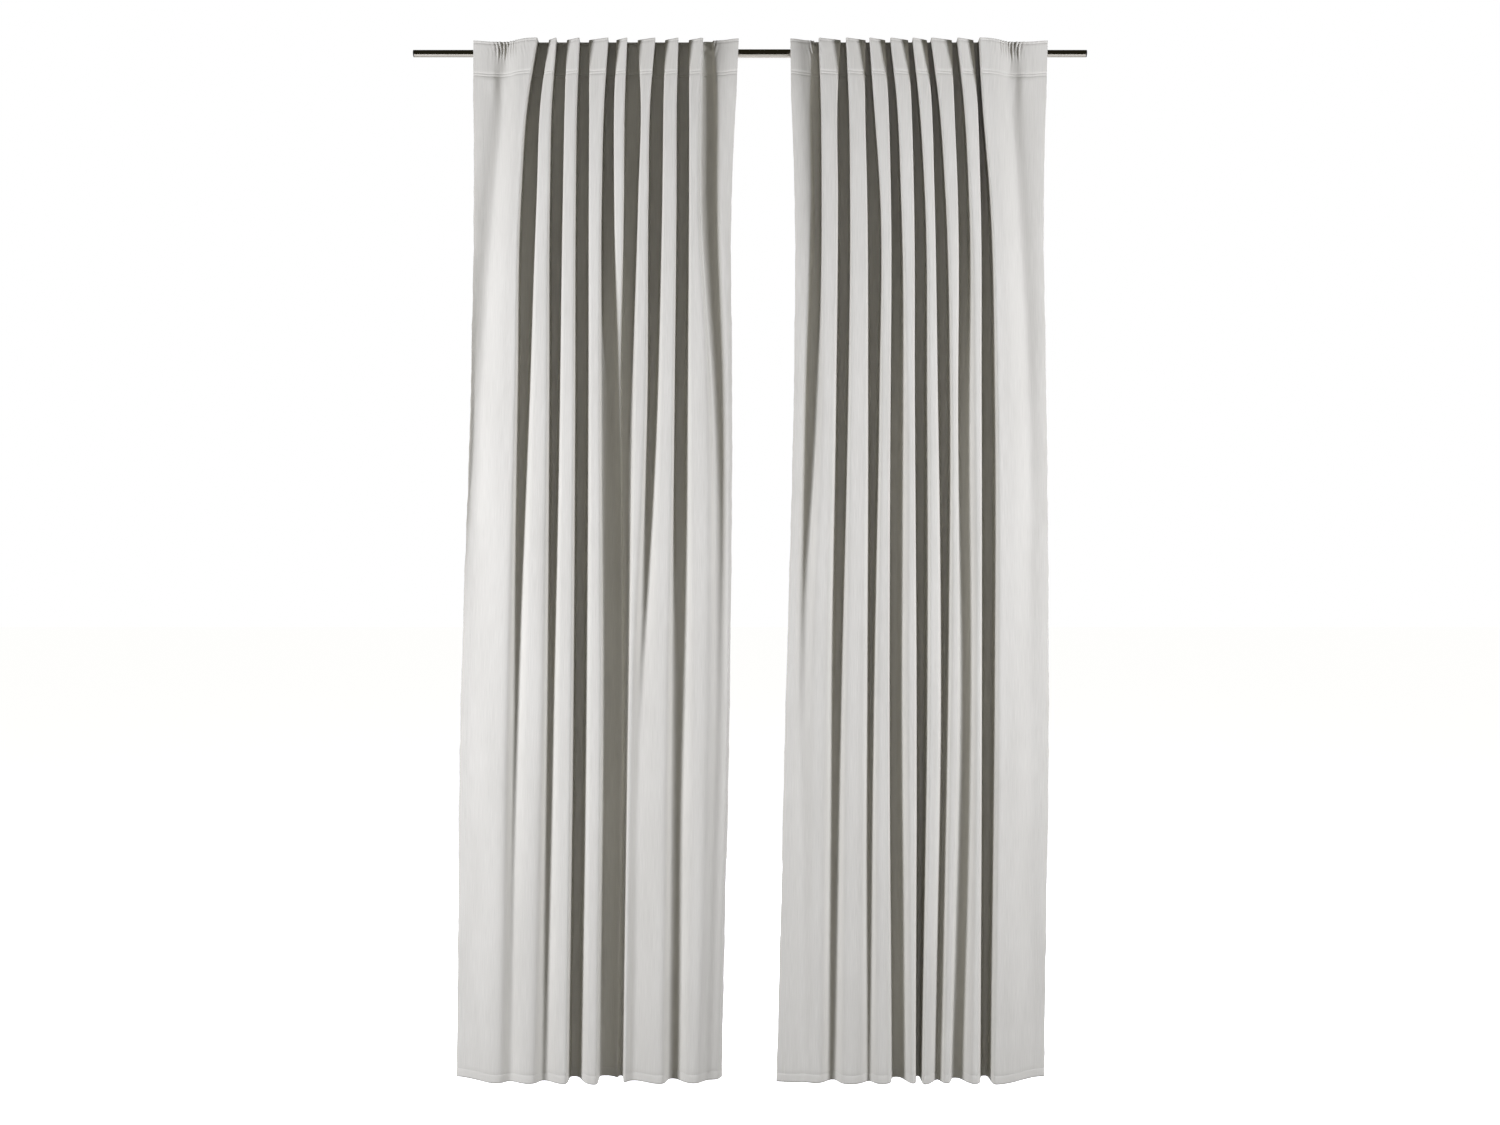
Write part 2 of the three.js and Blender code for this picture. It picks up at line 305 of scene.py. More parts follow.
def mesh_object(name, points, faces, material, uv=None):
    """A smooth object from points in metres and faces. uv gives each point its place on the flat cloth."""
    mesh = bpy.data.meshes.new(name)
    mesh.from_pydata(points.reshape(-1, 3), [], faces)
    mesh.polygons.foreach_set("use_smooth", np.ones(len(faces), bool))
    mesh.materials.append(material)
    if uv is not None:
        layer = mesh.uv_layers.new(name="flat_cloth")
        corner_points = np.zeros(len(mesh.loops), int)
        mesh.loops.foreach_get("vertex_index", corner_points)
        layer.uv.foreach_set("vector", uv.reshape(-1, 2)[corner_points].ravel())
    mesh.update()
    piece = bpy.data.objects.new(name, mesh)
    scene.collection.objects.link(piece)
    return piece


# %% [markdown]
# ## Rod
#
# The rod is three tubes: the middle one is thicker and takes a thinner one at each end. Every part of
# it is round, so each is a profile turned about the rod's axis. Real edges are never sharp, so each
# corner of the profile becomes a small arc, which catches a line of light.

# %% Turned parts
MM = 0.001
AROUND = 64


def round_corners(outline, radius, closed):
    """Each corner becomes a quadratic curve between two points radius away from it. Open ends stay."""
    corners = np.array(outline, float)
    before = np.roll(corners, 1, axis=0) - corners
    after = np.roll(corners, -1, axis=0) - corners
    before_length = np.linalg.norm(before, axis=1, keepdims=True)
    after_length = np.linalg.norm(after, axis=1, keepdims=True)
    cut = np.minimum(radius, 0.4 * np.minimum(before_length, after_length))
    start = corners + before / before_length * cut
    end = corners + after / after_length * cut
    t = np.linspace(0, 1, 4)[None, :, None]
    curve = (1 - t) ** 2 * start[:, None] + 2 * t * (1 - t) * corners[:, None] + t ** 2 * end[:, None]
    if closed:
        return np.concatenate([curve.reshape(-1, 2), curve[0, :1]])
    return np.concatenate([corners[:1], curve[1:-1].reshape(-1, 2), corners[-1:]])


def turned(name, outline, radius, material, body):
    """A profile of (radius, x) in mm, turned about the rod's axis: y = r cos a, z = r sin a."""
    profile = round_corners(outline, radius, closed=outline[0][0] > 0)
    angle = np.linspace(0, 2 * np.pi, AROUND, endpoint=False)
    x = np.repeat(profile[:, 1:], AROUND, axis=1)
    points = np.stack([x, profile[:, :1] * np.cos(angle), profile[:, :1] * np.sin(angle)], axis=-1) * MM
    piece = mesh_object(name + "_finish", points, grid_faces(len(profile), AROUND, wrap=True), material)
    shape = bmesh.new()
    shape.from_mesh(piece.data)
    bmesh.ops.remove_doubles(shape, verts=shape.verts, dist=1e-7)
    bmesh.ops.recalc_face_normals(shape, faces=shape.faces)
    shape.to_mesh(piece.data)
    shape.free()
    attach(piece, body)
    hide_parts(name)
    return piece


def tube_outline(node, wall):
    """The profile of a plain tube that fills a CAD node's box."""
    low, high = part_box(node)
    outer = high.z / MM
    x0 = low.x / MM
    x1 = high.x / MM
    return [(outer - wall, x0), (outer, x0), (outer, x1), (outer - wall, x1)], outer, x1


TUBE_WALL = 0.7
centre_outline, centre_radius, mouth = tube_outline("rod_centre_tube", TUBE_WALL)
turned("rod_centre_tube", centre_outline, 0.2, BLACK_NICKEL, "rod")
centre_bore = centre_radius - TUBE_WALL

# %% [markdown]
# The thinner tubes slide in nylon bushes in the mouths of the middle tube. A glide plug on each inner
# end keeps them straight, and an end plug closes each free end.

# %% End tubes, bushes and plugs
SLIDE_GAP = 0.15
FIT_GAP = 0.3
for side, hand in ((-1, "left"), (1, "right")):
    end_outline, end_radius, _ = tube_outline(f"rod_{hand}_tube", TUBE_WALL)
    turned(f"rod_{hand}_tube", end_outline, 0.2, BLACK_NICKEL, f"rod_{hand}_end")
    bush_low, bush_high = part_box(f"{hand}_mouth_bush")
    bush_in, bush_out = sorted((abs(bush_low.x) / MM, abs(bush_high.x) / MM))
    glide_low, glide_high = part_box(f"{hand}_glide_plug")
    glide_in, glide_out = sorted((abs(glide_low.x) / MM, abs(glide_high.x) / MM))
    plug_low, plug_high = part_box(f"{hand}_end_plug")
    plug_in, plug_out = sorted((abs(plug_low.x) / MM, abs(plug_high.x) / MM))
    tube_in, tube_out = sorted((abs(end_outline[0][1]), abs(end_outline[2][1])))
    hole = end_radius + SLIDE_GAP
    sleeve = centre_bore - FIT_GAP / 2
    stem = end_radius - TUBE_WALL - FIT_GAP / 2
    lip = centre_bore - SLIDE_GAP
    bush = [(hole, bush_in), (sleeve, bush_in), (sleeve, mouth + FIT_GAP), (centre_radius, mouth + FIT_GAP),
            (centre_radius, bush_out), (hole, bush_out)]
    glide = [(0, glide_in), (lip, glide_in), (lip, tube_in - FIT_GAP), (stem, tube_in - FIT_GAP),
             (stem, glide_out), (0, glide_out)]
    plug = [(0, plug_in), (stem, plug_in), (stem, tube_out + FIT_GAP), (end_radius, tube_out + FIT_GAP),
            (end_radius, plug_out), (0, plug_out)]
    for node, outline, edge, body in ((f"{hand}_mouth_bush", bush, 0.5, "rod"),
                                      (f"{hand}_glide_plug", glide, 0.4, f"rod_{hand}_end"),
                                      (f"{hand}_end_plug", plug, 0.6, f"rod_{hand}_end")):
        turned(node, [(r, side * x) for r, x in outline], edge, NYLON, body)
    print(hand, "end tube from", round(tube_in, 1), "to", round(tube_out, 1), "mm")

# %% [markdown]
# ## The shape of hanging cloth
#
# Seen from above, a pleated curtain is a line that runs from the back of one fold, where a tab holds
# it to the rod, up a steep flank, along the face to the ridge, and back. A few corners give that line
# at each height. They are rounded tightly at the stiff heading and widely at the hem, and the heights
# are joined by smooth curves.

# %% Rounded paths
def soft_step(distance, softness):
    """A ramp that is 0 before a corner and d after it, with a soft bend: s log(1 + e^(d / s))."""
    return softness * np.logaddexp(0, distance / softness)


def rounded_path(corners, softness, segment, share):
    """
    Points along one polyline for each row, with its corners rounded.
    The path starts at its first corner. At each later corner the direction changes, and the change is
    brought in by a soft step in the distance walked. segment and share say where each point lies: how
    far along which segment.
    """
    steps = np.diff(corners, axis=1)
    lengths = np.maximum(np.linalg.norm(steps, axis=2), 1e-6)
    directions = steps / lengths[..., None]
    at_corner = np.concatenate([np.zeros((len(corners), 1)), np.cumsum(lengths, axis=1)], axis=1)
    walked = at_corner[:, segment] + share * lengths[:, segment]
    points = corners[:, :1] + directions[:, :1] * walked[..., None]
    turns = np.diff(directions, axis=1)
    ramps = soft_step(walked[:, :, None] - at_corner[:, None, 1:-1], softness[:, None, 1:-1])
    points = points + np.einsum("rck,rkd->rcd", ramps, turns)
    return points, walked


def between(down, keys):
    """A smooth curve through the values at KEY_DOWN: cubic spans that agree in value and slope."""
    keys = np.asarray(keys, float)
    slopes = np.gradient(keys, KEY_DOWN)
    span = np.clip(np.searchsorted(KEY_DOWN, down) - 1, 0, len(KEY_DOWN) - 2)
    width = np.diff(KEY_DOWN)[span]
    t = (down - KEY_DOWN[span]) / width
    start, end = keys[span], keys[span + 1]
    start_slope, end_slope = slopes[span] * width, slopes[span + 1] * width
    return ((2 * t ** 3 - 3 * t ** 2 + 1) * start + (t ** 3 - 2 * t ** 2 + t) * start_slope
            + (3 * t ** 2 - 2 * t ** 3) * end + (t ** 3 - t ** 2) * end_slope)


KEY_DOWN = np.array([0, 0.055, 0.15, 0.343, 0.63, 1.0])
print("heights of the fold edges, as shares of the drop:", KEY_DOWN)

# %% [markdown]
# ## Where the folds go
#
# These are the curtains' fold edges in millimetres outward from the middle of the rod, each at the
# six heights. A cleft lies between the ridge of one fold and the shoulder of the next. "open" says
# how far it has spread from a deep pleat into a shallow wave, and "lean" where its back lies: 0 is
# under the ridge and 1 under the shoulder.

# %% Fold edges
LEFT = {
    "side": -1,
    "hand": "left",
    "outer": [668, 668, 666, 674, 697, 708],
    "dip_from": [605, 614, 638, 670, 686, 694],
    "dip_to": [566, 574, 594, 627, 644, 653],
    "dip": [0.5, 0.46, 0.4, 0.26, 0.08, 0.02],
    "ridge": [
        [506, 529, 547, 556, 568, 583],
        [461, 472, 478, 480, 485, 504],
        [406, 412, 416, 418, 423, 435],
        [337, 347, 354, 356, 353, 363],
        [292, 298, 301, 309, 304, 316],
        [225, 237, 242, 245, 270, 292],
        [170, 174, 175, 180, 189, 199],
        [111, 117, 120, 94, 87, 111],
    ],
    "shoulder": [
        [483, 499, 508, 520, 541, 553],
        [440, 442, 446, 451, 461, 469],
        [387, 384, 384, 382, 385, 393],
        [321, 324, 324, 313, 307, 315],
        [270, 261, 265, 275, 287, 300],
        [204, 206, 208, 215, 233, 233],
        [147, 145, 144, 144, 138, 152],
        [89, 81, 76, 57, 45, 67],
    ],
    "open": [
        [0, 0, 0, 0.25, 0.6, 0.7],
        [0, 0, 0, 0.15, 0.45, 0.6],
        [0, 0, 0, 0, 0, 0.1],
        [0, 0, 0, 0, 0, 0],
        [0, 0, 0, 0, 0, 0],
        [0, 0, 0, 0.3, 0.75, 0.65],
        [0, 0, 0, 0.1, 0.4, 0.4],
        [0.3, 0.3, 0.3, 0.5, 0.8, 0.8],
    ],
    "lean": [0] * 8,
    "lead": [27, 33, 44, 43, 46, 66],
    "outer_forward": [4, 5, 8, 10, 8, 4],
    "lead_forward": [20, 24, 26, 30, 26, 8],
    "last_shoulder": [24, 30, 36, 44, 48, 40],
    "sunk": {3: [0, 0, 0.1, 0.55, 0.75, 0.72]},
}
RIGHT = {
    "side": 1,
    "hand": "right",
    "outer": [719, 715, 709, 715, 721, 710],
    "dip_from": [648, 652, 668, 690, 696, 700],
    "dip_to": [604, 609, 623, 652, 657, 661],
    "dip": [0.5, 0.46, 0.38, 0.28, 0.14, 0.08],
    "ridge": [
        [546, 553, 573, 588, 590, 579],
        [494, 509, 524, 533, 541, 527],
        [431, 449, 467, 480, 475, 458],
        [387, 402, 418, 426, 427, 412],
        [334, 349, 361, 373, 374, 386],
        [284, 294, 311, 311, 298, 293],
        [228, 235, 239, 236, 223, 212],
        [163, 168, 171, 168, 138, 139],
    ],
    "shoulder": [
        [537, 543, 550, 552, 552, 549],
        [485, 487, 496, 499, 503, 483],
        [425, 433, 440, 447, 455, 437],
        [380, 385, 391, 393, 397, 397],
        [325, 330, 336, 337, 335, 340],
        [278, 275, 279, 280, 278, 275],
        [218, 209, 209, 203, 187, 175],
        [154, 148, 150, 130, 111, 113],
    ],
    "open": [
        [0, 0, 0, 0, 0, 0],
        [0, 0, 0.1, 0.35, 0.4, 0.3],
        [0, 0, 0, 0.1, 0.35, 0.45],
        [0, 0, 0, 0, 0, 0],
        [0, 0, 0, 0.15, 0.15, 0.2],
        [0, 0, 0, 0.1, 0.4, 0.6],
        [0, 0, 0, 0.1, 0.35, 0.5],
        [0.2, 0.1, 0.1, 0.3, 0.8, 0.9],
    ],
    "lean": [0.4, 1, 0.3, 0.5, 1, 0.3, 0.2, 0.3],
    "lead": [97, 99, 107, 105, 87, 64],
    "outer_forward": [4, 5, 6, 8, 6, 4],
    "lead_forward": [20, 24, 26, 32, 38, 44],
    "last_shoulder": [22, 28, 34, 42, 50, 52],
    "sunk": {},
}
FOLD_DEPTH = 62
SHOULDER_DEPTH = [28, 53, 57, 58, 57, 54]
SHARP = [2.2, 2.6, 3.2, 4.2, 5.5, 6.5]
UNDERCUT = [5, 4, 3, 2, 1, 0]
SLANT = [0, 0.04, 0.15, 0.3, 0.4, 0.45]
LEAN_COMES_IN = np.array([0, 0, 0.25, 1, 1, 1])

# %% [markdown]
# The corners of one height run from the outer edge to the lead edge. The outer flap climbs from the
# back plane to the first ridge, with one soft dip below the first tab. Each cleft adds four corners:
# ridge, two at its back, shoulder.

# %% Corners at every height
FLAP_BEND = 6.0
BELLY_RISE = 6.0


def flap_corners(curtain, at):
    """The outer flap's edge, the three corners of its dip, and its belly before the first ridge."""
    outer = at(curtain["outer"])
    first_ridge = at(curtain["ridge"][0])
    outer_forward = at(curtain["outer_forward"])

    def climb(outward):
        """The straight climb from the outer edge to the first ridge."""
        return outer_forward + (FOLD_DEPTH - outer_forward) * (outer - outward) / (outer - first_ridge)

    dip_from = at(curtain["dip_from"])
    dip_to = at(curtain["dip_to"])
    dip_middle = (dip_from + dip_to) / 2
    dip = np.maximum(np.minimum(FOLD_DEPTH * at(curtain["dip"]), climb(dip_middle)), 0)
    belly = (dip_to + first_ridge) / 2
    sharp = at(SHARP)
    bend = np.full_like(sharp, FLAP_BEND)
    return [(outer, outer_forward, sharp),
            (dip_from, climb(dip_from) - 0.6 * dip, bend),
            (dip_middle, climb(dip_middle) - dip, bend - 1),
            (dip_to, climb(dip_to) - 0.5 * dip, bend),
            (belly, climb(belly) + BELLY_RISE, bend + 3)]


def cleft_corners(curtain, at, k):
    """The four corners of one cleft: the ridge before it, both sides of its back, and the next shoulder."""
    ridge = at(curtain["ridge"][k])
    shoulder = at(curtain["shoulder"][k])
    openness = at(curtain["open"][k])
    lean = at(curtain["lean"][k] * LEAN_COMES_IN)
    sharp = at(SHARP)
    undercut = at(UNDERCUT) * (1 - openness)
    slant = np.clip(at(SLANT) + 0.25 * openness, 0, 0.8) * (ridge - shoulder)
    back_from = ridge + (1 - lean) * undercut - lean * slant
    back_to = shoulder + (1 - lean) * slant - lean * undercut
    never = np.zeros(len(KEY_DOWN))
    ridge_forward = FOLD_DEPTH * (1 - at(curtain["sunk"].get(k - 1, never)))
    shoulder_forward = at(SHOULDER_DEPTH) * (1 - at(curtain["sunk"].get(k, never)))
    if k == len(curtain["ridge"]) - 1:
        shoulder_forward = at(curtain["last_shoulder"])
    back_forward = np.minimum(ridge_forward, shoulder_forward) * 0.72 * openness
    return [(ridge, ridge_forward, sharp * (1 + 2.5 * openness)),
            (back_from, back_forward, sharp * (0.6 + 2 * openness)),
            (back_to, back_forward, sharp * (0.6 + 2 * openness)),
            (shoulder, shoulder_forward, sharp * (1.2 + 2 * openness))]


def control_corners(curtain, down):
    """Corners (rows, corners, 2) as (outward, forward) in mm, and the softness of each."""
    def at(keys):
        return between(down, keys)

    corners = flap_corners(curtain, at)
    for k in range(len(curtain["ridge"])):
        corners += cleft_corners(curtain, at, k)
    corners.append((at(curtain["lead"]), at(curtain["lead_forward"]), at(SHARP)))
    outward, forward, softness = (np.stack(values, 1) for values in zip(*corners))
    return np.stack([outward, forward], -1), softness


print("corners at each height:", 5 + 4 * len(LEFT["ridge"]) + 1)

# %% [markdown]
# Columns are close together where the cloth bends and where the heading is puckered, and rows are
# close together at the heading and at each line of stitches, so that the mesh spends its faces where
# the eye needs them.

# %% Rows and columns of the cloth
TOP = 26.0
DROP = 2500.0
TAPE_TOP = TOP - 5
TAPE_BOTTOM = TOP - 85
HEM_TOP = TOP - DROP + 20
STITCH_LINES = [TOP - 5, TOP - 78, TOP - 84, HEM_TOP]
STITCH_DEPTHS = [1.6, 1.6, 1.6, 0.7]
OUTER_STEPS = [24, 13, 13, 14, 13]
CLEFT_STEPS = [6, 4, 8, 9]
LEAD_STEPS = 20


def columns():
    """The segment that each column lies on, and how far along it, bunched towards both ends."""
    # the last cleft has no face after it: its shoulder runs on to the lead edge
    counts = OUTER_STEPS + CLEFT_STEPS * 7 + CLEFT_STEPS[:3] + [LEAD_STEPS]
    segment = np.concatenate([np.full(count, i) for i, count in enumerate(counts)] + [[len(counts) - 1]])
    even = np.concatenate([np.arange(count) / count for count in counts] + [[1.0]])
    bunched = (1 - np.cos(np.pi * even)) / 2
    return segment, 0.35 * even + 0.65 * bunched


def row_heights():
    """Heights in mm from the top edge to the hem: every 3 mm at the heading, and then ever wider apart."""
    heading = np.arange(TOP, TAPE_BOTTOM - 12, -3.2)
    seams = np.add.outer(STITCH_LINES, [-2.4, -1.2, 0, 1.2, 2.4]).ravel()
    body = np.linspace(TAPE_BOTTOM - 30, HEM_TOP + 12, 104)
    hem = np.linspace(HEM_TOP - 5, TOP - DROP, 5)
    every = np.unique(np.round(np.concatenate([heading, seams, body, hem]), 2))[::-1]
    keep = np.concatenate([[True], -np.diff(every) > 0.7])
    keep[-1] = True
    return every[keep]


SEGMENT, SHARE = columns()
HEIGHTS = row_heights()
print("cloth grid:", len(HEIGHTS), "rows by", len(SEGMENT), "columns")

# %% [markdown]
# Small things make cloth look sewn. Each line of stitches pulls the cloth in a little. The first and
# last tab carry the weight of a flap, so the heading puckers beside them. The side hems are taut and
# ripple. Wide, shallow swells keep any face from being a true plane, as a hanging cloth never is.

# %% Panel points
FLAT_WIDTH = 1450.0
BACK_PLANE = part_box("left_outer_flap")[1].y / MM - 1.0
PUCKER_HEIGHT = 2.6
FAN_HEIGHT = 1.5
PUFF_HEIGHT = 3.5
RIPPLE_HEIGHT = 0.8
PANEL_MIDDLE = 380.0


def bell(distance, width):
    """A smooth hump: e to the power of minus (distance / width) squared."""
    return np.exp(-(distance / width) ** 2)


def first_tab(curtain):
    """The middle of the dip that the first tab pulls into the heading."""
    return (curtain["dip_from"][0] + curtain["dip_to"][0]) / 2


def heading_puckers(curtain, outward, z):
    """Sharp gathers beside the first and last tab, which fade out 20 mm below the top edge."""
    below = TOP - z
    near_top = bell(np.maximum(below - 20, 0), 20)
    from_first = outward - first_tab(curtain)
    outer_wave = np.sin(from_first * 0.78 + 0.07 * below + 1.6 * np.sin(z / 13 + from_first / 19))
    outer_pucker = bell(from_first + 3, 40) * (outer_wave + 0.5 * np.sin(from_first * 0.43 - 0.05 * below))
    from_last = outward - (curtain["ridge"][-1][0] - 10)
    lead_wave = np.sin(from_last * 0.85 - 0.08 * below + 1.6 * np.sin(z / 11))
    lead_pucker = bell(from_last, 24) * lead_wave
    return PUCKER_HEIGHT * near_top * (outer_pucker + lead_pucker)


def fan_below_tape(curtain, outward, z):
    """Below the tape the gathers open into soft pleats, and the cloth beside them puffs out."""
    below = TOP - z
    across = outward - first_tab(curtain)
    pleats = bell(below - 110, 40) * bell(across, 40) * FAN_HEIGHT * np.sin(across * 0.2 + 0.01 * below)
    return pleats + PUFF_HEIGHT * bell(below - 100, 13) * bell(across - 36, 24)


def side_hem_ripples(z, walked, total):
    """Uneven ripples along both side hems, which the stitches hold shorter than the cloth beside them."""
    fine = np.sin(z / 9 + 3 * np.sin(z / 140)) * np.sin(z / 47)
    coarse = np.sin(z / 31 + 2 * np.sin(z / 90))
    beside_edge = bell(walked, 12) + bell(total - walked, 12)
    return RIPPLE_HEIGHT * (fine + coarse) * beside_edge * (TOP - z > 95)


def panel_points(curtain):
    """The cloth's middle surface in mm as (rows, columns, 3), and each point's place on the flat cloth."""
    down = (TOP - HEIGHTS) / DROP
    corners, softness = control_corners(curtain, down)
    path, walked = rounded_path(corners, softness, SEGMENT, SHARE)
    outward, forward = path[..., 0], path[..., 1]
    total = walked[:, -1:]
    across = walked / total * FLAT_WIDTH
    z = np.broadcast_to(HEIGHTS[:, None], outward.shape)
    # ridges hang a little lower than the edges of the cloth, which stand on the tape
    inner = 1 - bell(np.minimum(walked, total - walked), 30)
    depth = np.clip(forward / FOLD_DEPTH, 0, 1)
    hang = inner * ((3 + 8 * depth) * (1 - down[:, None]) + 4 * depth * down[:, None])
    # each line of stitches lies in a groove about 2 mm wide
    groove = sum(depth_mm * bell(z - line, 2.0) for line, depth_mm in zip(STITCH_LINES, STITCH_DEPTHS))
    ripple = side_hem_ripples(z, walked, total)
    # wide swells start 300 mm below the heading
    swell = 1.1 * np.sin(z / 260 + across / 60) + 0.35 * np.sin(z / 120 - across / 37)
    swell = swell * inner * np.clip((TOP - z) / 300, 0, 1)
    forward = forward + heading_puckers(curtain, outward, z) + fan_below_tape(curtain, outward, z)
    forward = forward + ripple - groove + swell
    outward = outward + 0.6 * ripple * np.sign(outward - PANEL_MIDDLE)
    points = np.stack([curtain["side"] * outward, BACK_PLANE - forward, z - hang], axis=-1)
    return points, np.stack([across, z], axis=-1)


def normals(points):
    """Unit normals of a grid of points: the cross product of its two directions."""
    normal = np.cross(np.gradient(points, axis=0), np.gradient(points, axis=1))
    return normal / np.linalg.norm(normal, axis=-1, keepdims=True)


print("back plane of the cloth at y =", round(BACK_PLANE, 1), "mm")

# %% [markdown]
# ## Panels
#
# Each curtain is one uninterrupted sheet from edge to edge, as it is cut and sewn. It rides on the
# body that holds its outer tab. When the curtain is drawn together the real cloth folds up between
# the tabs, but this sheet only moves with the outer tab.

# %% Panels
CLOTH_THICKNESS = 0.6
TAPE_THICKNESS = 0.8


def thicken(piece, thickness):
    """Gives a sheet its thickness in mm, half on each side of its middle surface."""
    solidify = piece.modifiers.new("thickness", "SOLIDIFY")
    solidify.thickness = thickness * MM
    solidify.offset = 0


def ride_with_cloth(piece, hand, slot, *nodes):
    """The piece moves with the curtain's outer tab."""
    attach(piece, f"{hand}_outer")
    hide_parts(*nodes)
    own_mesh(piece)


def sheet_object(name, curtain, points, uv, material, thickness):
    """A sheet from a grid of points in mm, with its faces towards the room."""
    faces = grid_faces(*points.shape[:2])
    if curtain["side"] > 0:
        faces = faces[:, ::-1]
    piece = mesh_object(name, points * MM, faces, material, uv)
    thicken(piece, thickness)
    return piece


cloth = {}
for curtain in (LEFT, RIGHT):
    hand = curtain["hand"]
    points, flat = panel_points(curtain)
    front = -curtain["side"] * normals(points)
    panel = sheet_object(f"{hand}_panel", curtain, points, flat, SATEEN, CLOTH_THICKNESS)
    segments = [f"{hand}_fold_{k}" for k in range(1, 9)]
    ride_with_cloth(panel, hand, "cloth", f"{hand}_outer_flap", *segments, f"{hand}_lead_flap")
    cloth[hand] = {"panel": panel, "points": points, "flat": flat, "front": front, "sewn": []}
    length = np.linalg.norm(np.diff(points, axis=1), axis=2).sum(axis=1)
    print(hand, "path across the cloth, in mm: top", round(length[0]), "middle", round(length[90]), "hem",
          round(length[-1]))

# %% [markdown]
# ## Heading tape and hems
#
# A woven tape is sewn behind the top 80 mm, and the bottom and sides are folded back and stitched.
# All of these lie on the cloth, so they are taken from its own points and set back along its normals,
# and they bend exactly as it does.

# %% Heading tape and bottom hem
TAPE_BACK = 1.2
HEM_BACK = 0.8

for curtain in (LEFT, RIGHT):
    hand = curtain["hand"]
    made = cloth[hand]
    for name, top, bottom, back, material, thickness, slot in (
            ("heading_tape", TAPE_TOP, TAPE_BOTTOM, TAPE_BACK, TAPE_WEAVE, TAPE_THICKNESS, "tape"),
            ("bottom_hem", HEM_TOP, TOP - DROP, HEM_BACK, SATEEN, CLOTH_THICKNESS, "cloth")):
        rows = (HEIGHTS <= top + 0.01) & (HEIGHTS >= bottom - 0.01)
        points = (made["points"] - made["front"] * back)[rows]
        flat = made["flat"][rows]
        piece = sheet_object(f"{hand}_{name}_cloth", curtain, points, flat, material, thickness)
        ride_with_cloth(piece, hand, slot, f"{hand}_{name}")
        made["sewn"].append(piece)
        print(piece.name, points.shape[:2])


# %% Side hems
SIDE_HEM = 25.0


def at_distance(values, flat, distances):
    """Values of each row's path at distances across the flat cloth, from the columns on both sides."""
    across = flat[..., 0]
    after = np.clip((across[:, None, :] < distances[:, :, None]).sum(axis=2), 1, across.shape[1] - 1)
    start = np.take_along_axis(across, after - 1, axis=1)
    end = np.take_along_axis(across, after, axis=1)
    share = ((distances - start) / (end - start))[..., None]
    low = np.take_along_axis(values, (after - 1)[..., None], axis=1)
    high = np.take_along_axis(values, after[..., None], axis=1)
    return low * (1 - share) + high * share


for curtain in (LEFT, RIGHT):
    hand = curtain["hand"]
    made = cloth[hand]
    rows = (HEIGHTS <= TAPE_BOTTOM - 1) & (HEIGHTS >= HEM_TOP + 1)
    for name, start, end in (("outer_side_hem", 0.3, SIDE_HEM),
                             ("lead_side_hem", FLAT_WIDTH - SIDE_HEM, FLAT_WIDTH - 0.3)):
        distances = np.broadcast_to(np.linspace(start, end, 9), (rows.sum(), 9))
        flat = made["flat"][rows]
        points = at_distance((made["points"] - made["front"] * HEM_BACK)[rows], flat, distances)
        hem_flat = at_distance(flat, flat, distances)
        piece = sheet_object(f"{hand}_{name}_cloth", curtain, points, hem_flat, SATEEN, CLOTH_THICKNESS)
        ride_with_cloth(piece, hand, "cloth", f"{hand}_{name}")
        made["sewn"].append(piece)
        print(piece.name, points.shape[:2])

# %% [markdown]
# ## Stitching
#
# The hems and tape are held by lockstitch, which shows as a row of short dashes of thread, one every
# 3.4 mm. There are thousands, so each is only a small eight-sided grain: two ends, two sides, a top
# and a bottom.

# %% Stitches
STITCH_PITCH = 3.4
STITCH_LENGTH = 2.7
STITCH_RADIUS = 0.3
IN_FRONT = 0.3
BEHIND_TAPE = -1.75
BEHIND_HEM = -1.25


def evenly_along(path, front, pitch):
    """Places every pitch mm along a path of points: centre, direction and front normal at each."""
    steps = np.linalg.norm(np.diff(path, axis=0), axis=1)
    walked = np.concatenate([[0], np.cumsum(steps)])
    places = np.arange(pitch, walked[-1] - pitch, pitch)
    centre = np.stack([np.interp(places, walked, path[:, i]) for i in range(3)], axis=1)
    ahead = np.stack([np.interp(places + 0.5, walked, path[:, i]) for i in range(3)], axis=1)
    normal = np.stack([np.interp(places, walked, front[:, i]) for i in range(3)], axis=1)
    direction = ahead - centre
    direction /= np.linalg.norm(direction, axis=1, keepdims=True)
    return centre, direction, normal / np.linalg.norm(normal, axis=1, keepdims=True)


def stitch_grains(centre, direction, normal, lift):
    """Six points for each stitch, lift mm in front of the cloth's middle, and its eight faces."""
    sideways = np.cross(direction, normal)
    middle = centre + normal * lift
    half = direction * STITCH_LENGTH / 2
    sign = np.sign(lift)
    side_step = sideways * STITCH_RADIUS
    out_step = normal * STITCH_RADIUS * sign
    points = np.stack([middle - half, middle + half, middle + side_step, middle - side_step,
                       middle + out_step, middle - out_step], axis=1)
    one = np.array([(0, 2, 4), (2, 1, 4), (1, 3, 4), (3, 0, 4), (2, 0, 5), (1, 2, 5), (3, 1, 5), (0, 3, 5)])
    # a stitch behind the cloth is a mirror image, so its faces are turned to point outwards
    one = one if sign > 0 else one[:, ::-1]
    faces = one[None] + 6 * np.arange(len(points))[:, None, None]
    return points.reshape(-1, 3), faces.reshape(-1, 3)


